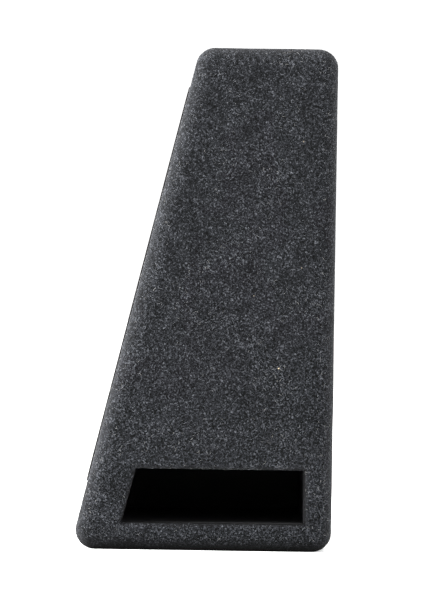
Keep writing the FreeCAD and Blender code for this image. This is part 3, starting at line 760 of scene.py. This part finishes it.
def scatter_tree(strand, spacing, seed):
    """A node group that scatters strands over the marked faces, turned and tilted at random."""
    tree = bpy.data.node_groups.new("felt_scatter", "GeometryNodeTree")
    tree.interface.new_socket("Geometry", in_out="INPUT", socket_type="NodeSocketGeometry")
    tree.interface.new_socket("Geometry", in_out="OUTPUT", socket_type="NodeSocketGeometry")
    entry = add(tree, "NodeGroupInput")
    marked = add(tree, "GeometryNodeInputNamedAttribute", {"Name": "outside"}, data_type="FLOAT")
    density = compute(tree, "MULTIPLY", marked.outputs["Attribute"], 1 / spacing**2)
    points = add(
        tree,
        "GeometryNodeDistributePointsOnFaces",
        {"Mesh": entry.outputs["Geometry"], "Density": density, "Seed": seed},
        distribute_method="RANDOM",
    )
    least, most = (-FIBRE_TILT, -FIBRE_TILT, 0.0), (FIBRE_TILT, FIBRE_TILT, 2 * math.pi)
    turn = add(
        tree,
        "FunctionNodeRandomValue",
        {"Min": least, "Max": most, "Seed": seed + 1},
        data_type="FLOAT_VECTOR",
    )
    as_rotation = add(tree, "FunctionNodeEulerToRotation", {"Euler": turn.outputs["Value"]})
    rotation = add(
        tree,
        "FunctionNodeRotateRotation",
        {"Rotation": points.outputs["Rotation"], "Rotate By": as_rotation.outputs["Rotation"]},
        rotation_space="LOCAL",
    )
    least, most = FIBRE_SIZES
    size = add(tree, "FunctionNodeRandomValue", {2: least, 3: most, "Seed": seed + 2}, data_type="FLOAT")
    source = add(tree, "GeometryNodeObjectInfo", {"Object": strand})
    instances = add(
        tree,
        "GeometryNodeInstanceOnPoints",
        {
            "Points": points.outputs["Points"],
            "Instance": source.outputs["Geometry"],
            "Rotation": rotation.outputs["Rotation"],
            "Scale": size.outputs[1],
        },
    )
    tone = add(tree, "FunctionNodeRandomValue", {2: 0.0, 3: 1.0, "Seed": seed + 3}, data_type="FLOAT")
    stored = add(
        tree,
        "GeometryNodeStoreNamedAttribute",
        {"Geometry": instances.outputs["Instances"], "Name": "tone", "Value": tone.outputs[1]},
        data_type="FLOAT",
        domain="INSTANCE",
    )
    real = add(tree, "GeometryNodeRealizeInstances", {"Geometry": stored.outputs["Geometry"]})
    add(tree, "NodeGroupOutput", {"Geometry": real.outputs["Geometry"]})
    return tree


def along_skin(vert, creases):
    """The outward direction at a vertex, without the part that would open the butt seam beside it."""
    direction = vert.normal.copy()
    for crease in creases:
        if not crease.ends and abs((vert.co - crease.point).dot(crease.normal)) < CREASE_CUTS[-1]:
            direction -= crease.normal * direction.dot(crease.normal)
    return direction.normalized()


def mark_mouth(mesh):
    """Marks how far each point of the end piece has turned into the slot, from 0 to almost 1: the strength
    of the painted shade there.
    """
    low, high, back, front = mouth_outline()
    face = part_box("carpet_slot_end")[0][1]
    values = []
    for vert in mesh.vertices:
        x, y, z = vert.co
        level = low - LIP_REACH < z < high + LIP_REACH
        inside = level and front(z) - LIP_REACH < x < back + LIP_REACH
        values.append(0.9 * smoothstep(y - face, *LIP_TURN) if inside else 0.0)
    mesh.attributes.new("mouth", "FLOAT", "POINT").data.foreach_set("value", values)


class SUBBOX_OT_felt(bpy.types.Operator):
    """Covers the box: four sheets of needle-felt, butted at the seams"""

    bl_idname = "subbox.felt"
    bl_label = "Felt covering"

    def execute(self, context):
        settings = context.scene.subbox_felt
        seam_at = (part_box("carpet_slot_end")[1][1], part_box("carpet_terminal_end")[0][1])
        front_seam, rear_seam = (Crease(AXES[1] * y, AXES[1], settings.seam_depth) for y in seam_at)
        creases = {
            "carpet_slot_end": [front_seam, *mitres(settings)],
            "carpet_terminal_end": [rear_seam],
            "carpet_wrap": [front_seam, rear_seam],
        }
        for node, lines in creases.items():
            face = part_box(node)[0][1]
            steps = [face + depth for depth in LIP_LAYERS]
            layers = [(AXES[1] * y, AXES[1]) for y in steps] if node == "carpet_slot_end" else []
            mesh = felt_piece(node, lines, layers, settings)
            outer_faces(mesh)
            if node == "carpet_slot_end":
                mark_mouth(mesh)
            finish_piece(mesh.name, mesh, ENCLOSURE, MATERIALS["felt"], (node,), 50.0)
        return {"FINISHED"}


class SUBBOX_OT_fibres(bpy.types.Operator):
    """Adds the loose fibres that stand out of the felt"""

    bl_idname = "subbox.fibres"
    bl_label = "Loose fibres"

    def execute(self, context):
        settings = context.scene.subbox_felt
        strand = bpy.data.objects.new("fibre_strand", fibre_mesh(settings))
        low, high = CAD_BOUNDS
        for seed, end in enumerate(("slot_end", "terminal_end", "wrap")):
            sheet = bpy.data.objects["felt_" + end]
            carrier = bpy.data.objects.new("carrier", sheet.data)
            context.scene.collection.objects.link(carrier)
            spacing = settings.fibre_spacing * (WRAP_FIBRE_SPACING if end == "wrap" else 1.0)
            modifier = carrier.modifiers.new("scatter", "NODES")
            modifier.node_group = scatter_tree(strand, spacing, 10 * seed + 1)
            graph = context.evaluated_depsgraph_get()
            mesh = bpy.data.meshes.new_from_object(carrier.evaluated_get(graph))
            bpy.data.objects.remove(carrier)
            mesh.name = "fibres_" + end
            for vert in mesh.vertices:
                vert.co = [min(max(vert.co[i], low[i]), high[i]) for i in range(3)]
            finish_piece(mesh.name, mesh, ENCLOSURE, MATERIALS["fibre"])
        bpy.data.objects.remove(strand)
        return {"FINISHED"}


# ---------------------------------------------------------------- driver


def blend_radially(piece, inner, outer):
    """Bakes a disc's placement into its mesh and works out, from each vertex's radius, a weight between its
    inner and outer edges; nothing uses the weights.
    """
    place = driver_matrix()
    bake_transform(piece)
    back = place.inverted()
    weights = [smoothstep((back @ v.co).xy.length, inner, outer) for v in piece.data.vertices]


def arc_points(centre, radius_x, radius_z, foot, count):
    return [
        (
            centre + radius_x * math.cos(math.pi * i / count),
            foot + radius_z * math.sin(math.pi * i / count),
        )
        for i in range(count + 1)
    ]


class SUBBOX_OT_fleck(bpy.types.Operator):
    """Adds the one tuft of undyed fibre that is caught in the slot end's felt"""

    bl_idname = "subbox.fleck"
    bl_label = "Undyed tuft"

    def execute(self, context):
        settings = context.scene.subbox_felt
        low, high = (Vector(corner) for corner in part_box("carpet_slot_end"))
        bm = bmesh.new()
        bmesh.ops.create_icosphere(bm, subdivisions=3, radius=settings.fleck_size / 2)
        for vert in bm.verts:
            vert.co *= 1 + 0.35 * noise.noise(vert.co / (0.4 * MM))
        bmesh.ops.scale(bm, verts=bm.verts, vec=(1.0, 0.4, 0.8))
        place = Vector((high.x - settings.fleck_inset, low.y, settings.fleck_height))
        mesh = mesh_from(bm, "undyed_tuft", Matrix.Translation(place))
        finish_piece("undyed_tuft", mesh, ENCLOSURE, MATERIALS["undyed"])
        return {"FINISHED"}


class SUBBOX_OT_surround(bpy.types.Operator):
    """Makes the rubber half-roll between the cone and the frame"""

    bl_idname = "subbox.surround"
    bl_label = "Surround"

    def execute(self, context):
        wall = context.scene.subbox_driver.roll_wall
        foot = disc("trim_ring")[0] - wall
        cone_edge = disc("cone")[2]
        inner, outer = cone_edge + ROLL_INSETS[0], disc("trim_ring")[2] - ROLL_INSETS[1]
        centre, half = (inner + outer) / 2, (outer - inner) / 2
        over = arc_points(centre, half, ROLL_HEIGHT, foot + wall, 20)
        under = arc_points(centre, half - wall, ROLL_HEIGHT - wall * 0.6, foot, 20)
        rim_out, rim_in = disc("trim_ring")[2] - ROLL_FEET[1], cone_edge - ROLL_FEET[0]
        profile = [(rim_out, foot), (rim_out, foot + wall), *over, (rim_in, foot + wall), (rim_in, foot)]
        profile += reversed(under)
        mesh = mesh_from(lathe(profile, 160), "surround_roll", driver_matrix())
        piece = finish_piece("surround_roll", mesh, None, MATERIALS["butyl"], ("surround",))
        blend_radially(piece, inner, outer)
        return {"FINISHED"}


class SUBBOX_OT_spider(bpy.types.Operator):
    """Makes the corrugated cloth disc that centres the voice coil"""

    bl_idname = "subbox.spider"
    bl_label = "Spider"

    def execute(self, context):
        waves = context.scene.subbox_driver.waves
        low, high, outer = disc("spider")
        inner = disc("coil_former")[2] + 0.1 * MM
        plane = (low + high) / 2
        flat_in, flat_out = inner + SPIDER_FLATS[0], outer - SPIDER_FLATS[1]
        steps = waves * 12
        lower = [(inner, plane)]
        for i in range(steps + 1):
            radius = flat_in + (flat_out - flat_in) * i / steps
            lower.append((radius, plane + SPIDER_RISE * math.sin(2 * math.pi * waves * i / steps)))
        lower.append((outer, plane))
        upper = [(radius, height + SPIDER_WALL) for radius, height in reversed(lower)]
        mesh = mesh_from(lathe(lower + upper, 96), "spider_disc", driver_matrix())
        piece = finish_piece("spider_disc", mesh, None, MATERIALS["cloth"], ("spider",))
        blend_radially(piece, flat_in, flat_out)
        return {"FINISHED"}


def ring_height(radius, edge, ring):
    """How far a moulded ring rises at a radius."""
    height, share, width = ring
    return height * math.exp(-(((radius - share * edge) / width) ** 2))


class SUBBOX_OT_cone(bpy.types.Operator):
    """Makes the cone with its moulded ribs and rings, and the dust cap"""

    bl_idname = "subbox.cone"
    bl_label = "Cone and dust cap"

    def execute(self, context):
        settings = context.scene.subbox_driver
        low, high, edge = disc("cone")
        neck = disc("coil_former")[2] + 0.2 * MM
        wall, lap, count = CONE_WALL, edge - CONE_LAP, 48

        def height_at(radius):
            t = (radius - neck) / (lap - neck)
            slope = low + NECK_STEP + (high - low - NECK_STEP - wall) * t
            return slope + ring_height(radius, edge, CONE_BEAD)

        radii = [neck + (lap - neck) * i / count for i in range(count + 1)]
        lower = [(neck, low)] + [(r, height_at(r)) for r in radii] + [(edge, high - wall)]
        upper = [(edge, high)] + [(r, height_at(r) + wall) for r in reversed(radii)]
        bm = lathe(lower + upper, 192)
        for vert in bm.verts:
            radius = vert.co.xy.length
            band = smoothstep(radius, neck * 1.9, neck * 2.3)
            band *= 1 - smoothstep(radius, edge * 0.74, edge * 0.8)
            wave = max(0.0, math.cos(settings.ribs * math.atan2(vert.co.y, vert.co.x))) ** 4
            vert.co.z += settings.rib_height * band * wave
        mesh = mesh_from(bm, "cone_pulp", driver_matrix())
        finish_piece("cone_pulp", mesh, CONE_BODY, MATERIALS["pulp"], ("cone",))
        self.dust_cap(height_at)
        return {"FINISHED"}

    def dust_cap(self, height_at):
        low, high, radius = disc("dust_cap")
        skin, count = CAP_SKIN, 24
        rise = high - low
        foot = height_at(radius) + CONE_WALL

        def dome(r, drop):
            domed = max(0.0, 1 - (r / radius) ** 2) ** 0.85
            return foot + (rise - drop) * domed + ring_height(r, radius, CAP_RING)

        radii = [radius * i / count for i in range(1, count + 1)]
        upper = [(r, dome(r, 0.0) + skin * (r < radius)) for r in radii]
        lower = [(r, dome(r, 0.0) - skin * (r < radius) * 0.2) for r in reversed(radii[:-1])]
        top, tip = dome(0.0, 0.0), 0.02 * MM
        bm = lathe([(tip, top + skin), *upper, *lower, (tip, top - skin * 0.2)], 96)
        mesh = mesh_from(bm, "dust_cap_dome", driver_matrix())
        finish_piece("dust_cap_dome", mesh, CONE_BODY, MATERIALS["pulp"], ("dust_cap",))


# ---------------------------------------------------------------- terminals


class SUBBOX_OT_springs(bpy.types.Operator):
    """Makes the round-wire springs inside the two terminal buttons"""

    bl_idname = "subbox.springs"
    bl_label = "Terminal springs"

    def execute(self, context):
        for colour in ("red", "black"):
            low, high = (Vector(corner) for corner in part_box(colour + "_spring"))
            wire = SPRING_WIRE
            reach = (high.x - low.x) / 2 - wire
            centre = (low + high) / 2
            bottom, top = low.y + wire, high.y - wire
            # closed ends: the first and last half turns lie flat
            per_turn = 24
            steps = int(SPRING_TURNS * per_turn)
            curve = bpy.data.curves.new("spring_path", "CURVE")
            curve.dimensions = "3D"
            curve.bevel_depth = wire
            curve.bevel_resolution = 2
            curve.use_fill_caps = True
            spline = curve.splines.new("POLY")
            spline.points.add(steps)
            for i, point in enumerate(spline.points):
                angle = 2 * math.pi * i / per_turn
                even = min(max((i / steps - 0.08) / 0.84, 0), 1)
                climb = smoothstep(i / steps, 0.0, 1.0) * 0.35 + 0.65 * even
                point.co = (
                    centre.x + reach * math.cos(angle),
                    bottom + (top - bottom) * climb,
                    centre.z + reach * math.sin(angle),
                    1.0,
                )
            path = bpy.data.objects.new("spring_path", curve)
            mesh = bpy.data.meshes.new_from_object(path)
            bpy.data.objects.remove(path)
            name = colour + "_spring_wire"
            mesh.name = name
            replaced = (colour + "_spring",)
            piece = finish_piece(name, mesh, ENCLOSURE, MATERIALS["zinc"], replaced)
            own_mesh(piece)
        return {"FINISHED"}


class SUBBOX_OT_marks(bpy.types.Operator):
    """Adds the raised plus and minus signs above the terminals"""

    bl_idname = "subbox.marks"
    bl_label = "Polarity signs"

    def execute(self, context):
        high = Vector(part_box("terminal_cup")[1])
        arm, width, proud = SIGN_SIZE
        for colour, name in (("red", "plus_sign"), ("black", "minus_sign")):
            place = Vector((middle(colour + "_button").x, high.y, high.z - SIGN_DROP))
            bm = sign(arm, width, proud, upright=colour == "red")
            bmesh.ops.bevel(
                bm,
                geom=bm.edges[:],
                offset=SIGN_BEVEL,
                offset_type="OFFSET",
                affect="EDGES",
                segments=2,
                profile=0.5,
                material=-1,
            )
            mesh = mesh_from(bm, name, Matrix.Translation(place))
            finish_piece(name, mesh, ENCLOSURE, MATERIALS["abs"])
        return {"FINISHED"}


def sign(arm, width, proud, upright):
    """One solid sign: a square middle drawn out to the sides and, for a plus, up and down as well."""
    bm = bmesh.new()
    made = bmesh.ops.create_cube(bm, size=1.0)
    bmesh.ops.scale(bm, verts=made["verts"], vec=(width, 2 * proud, width))
    bm.normal_update()
    for side in bm.faces[:]:
        normal = side.normal.copy()
        if abs(normal.x) > 0.5 or (upright and abs(normal.z) > 0.5):
            drawn = bmesh.ops.extrude_discrete_faces(bm, faces=[side])
            bmesh.ops.translate(bm, verts=drawn["faces"][0].verts, vec=normal * (arm - width) / 2)
    return bm


# ---------------------------------------------------------------- finishes and stage


class SUBBOX_OT_finishes(bpy.types.Operator):
    """Gives every CAD node its material"""

    bl_idname = "subbox.finishes"
    bl_label = "Finishes"

    def execute(self, context):
        MATERIALS.update(build_materials(context.scene.subbox_felt))
        unfinished = set(frame["nodes"])
        for finish, nodes in NODE_FINISHES.items():
            for node in nodes:
                mesh = frame["nodes"][node].data
                mesh.materials.clear()
                mesh.materials.append(MATERIALS[finish])
                unfinished.discard(node)
        if unfinished:
            raise RuntimeError("no finish for " + ", ".join(sorted(unfinished)))
        return {"FINISHED"}


def softbox(name, place, aim, size, power):
    light = bpy.data.lights.new(name, "AREA")
    light.shape = "RECTANGLE"
    light.size, light.size_y = size
    light.energy = power
    holder = bpy.data.objects.new(name, light)
    holder.location = place
    holder.rotation_euler = (Vector(aim) - Vector(place)).to_track_quat("-Z", "Y").to_euler()
    holder.visible_camera = False
    bpy.context.scene.collection.objects.link(holder)


class SUBBOX_OT_stage(bpy.types.Operator):
    """Sets up the pale floor, the soft lights and the camera"""

    bl_idname = "subbox.stage"
    bl_label = "Studio"

    def execute(self, context):
        settings = context.scene.subbox_stage
        self.backdrop(settings)
        aim = middle("slot_end_panel")
        for name, place, size, power_setting in SOFTBOXES:
            softbox(name, place, aim, size, getattr(settings, power_setting))
        self.camera(context, settings)
        context.scene.view_settings.view_transform = "Standard"
        return {"FINISHED"}

    def backdrop(self, settings):
        """A flat sheet that lies on the floor."""
        floor = CAD_BOUNDS[0].z
        bm = bmesh.new()
        bmesh.ops.create_grid(bm, x_segments=2, y_segments=2, size=settings.floor_reach)
        bmesh.ops.translate(bm, verts=bm.verts, vec=(0, 0, floor))
        mesh = mesh_from(bm, "paper_floor")
        material, tree, shader, place = start_material("white_backdrop_paper")
        pale = (*settings.backdrop, 1.0)
        tooth = grain(tree, place, 2.0, detail=2.0)
        set_shader(tree, shader, Base_Color=pale, Roughness=0.9, Normal=relief(tree, tooth, 0.05, 0.3))
        # a faint glow keeps the box's contact shadow from spreading over the paper
        set_shader(tree, shader, Emission_Color=(1.0, 1.0, 1.0, 1.0), Emission_Strength=0.5)
        mesh.materials.append(material)
        sheet = bpy.data.objects.new("paper_floor", mesh)
        bpy.context.scene.collection.objects.link(sheet)
        world = bpy.data.worlds.new("white_cyclorama")
        bpy.context.scene.world = world
        world.use_nodes = True
        world.node_tree.nodes["Background"].inputs["Color"].default_value = (1.0, 1.0, 1.0, 1.0)
        world.node_tree.nodes["Background"].inputs["Strength"].default_value = settings.sky

    def camera(self, context, settings):
        """Square on to the slot end, with a long lens, and rolled a touch."""
        data = bpy.data.cameras.new("camera")
        data.sensor_fit = "VERTICAL"
        data.sensor_height = 36.0
        data.lens = data.sensor_height * settings.camera_distance / settings.view_height
        low, high = CAD_BOUNDS
        camera = bpy.data.objects.new("camera", data)
        context.scene.collection.objects.link(camera)
        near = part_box("carpet_slot_end")[0][1] + 15 * MM
        look = Vector(((low.x + high.x) / 2 + settings.aim_right, near, settings.aim_height))
        camera.matrix_world = (
            Matrix.Translation(look - Vector((0, settings.camera_distance, 0)))
            @ Matrix.Rotation(math.pi / 2, 4, "X")
            @ Matrix.Rotation(settings.camera_roll, 4, "Z")
        )
        context.scene.camera = camera


# ---------------------------------------------------------------- panel and registration


OPERATORS = (
    SUBBOX_OT_finishes,
    SUBBOX_OT_felt,
    SUBBOX_OT_fibres,
    SUBBOX_OT_fleck,
    SUBBOX_OT_surround,
    SUBBOX_OT_spider,
    SUBBOX_OT_cone,
    SUBBOX_OT_springs,
    SUBBOX_OT_marks,
    SUBBOX_OT_stage,
)
SETTINGS = {
    "subbox_felt": FeltSettings,
    "subbox_driver": DriverSettings,
    "subbox_stage": StageSettings,
}


class SUBBOX_PT_panel(bpy.types.Panel):
    """Lists the settings and the operators in the order that they run"""

    bl_idname = "SUBBOX_PT_panel"
    bl_label = "Subwoofer Box"
    bl_space_type = "VIEW_3D"
    bl_region_type = "UI"
    bl_category = "Subwoofer Box"

    def draw(self, context):
        for name, group in SETTINGS.items():
            box = self.layout.box()
            for field in group.__annotations__:
                box.prop(getattr(context.scene, name), field)
        for operator in OPERATORS:
            self.layout.operator(operator.bl_idname)


def register():
    for cls in (*SETTINGS.values(), *OPERATORS, SUBBOX_PT_panel):
        bpy.utils.register_class(cls)
    for name, group in SETTINGS.items():
        setattr(bpy.types.Scene, name, PointerProperty(type=group))


def unregister():
    for name in SETTINGS:
        delattr(bpy.types.Scene, name)
    for cls in reversed((*SETTINGS.values(), *OPERATORS, SUBBOX_PT_panel)):
        bpy.utils.unregister_class(cls)


def main():
    register()
    for operator in OPERATORS:
        group, name = operator.bl_idname.split(".")
        getattr(getattr(bpy.ops, group), name)()


if __name__ == "__main__":
    main()
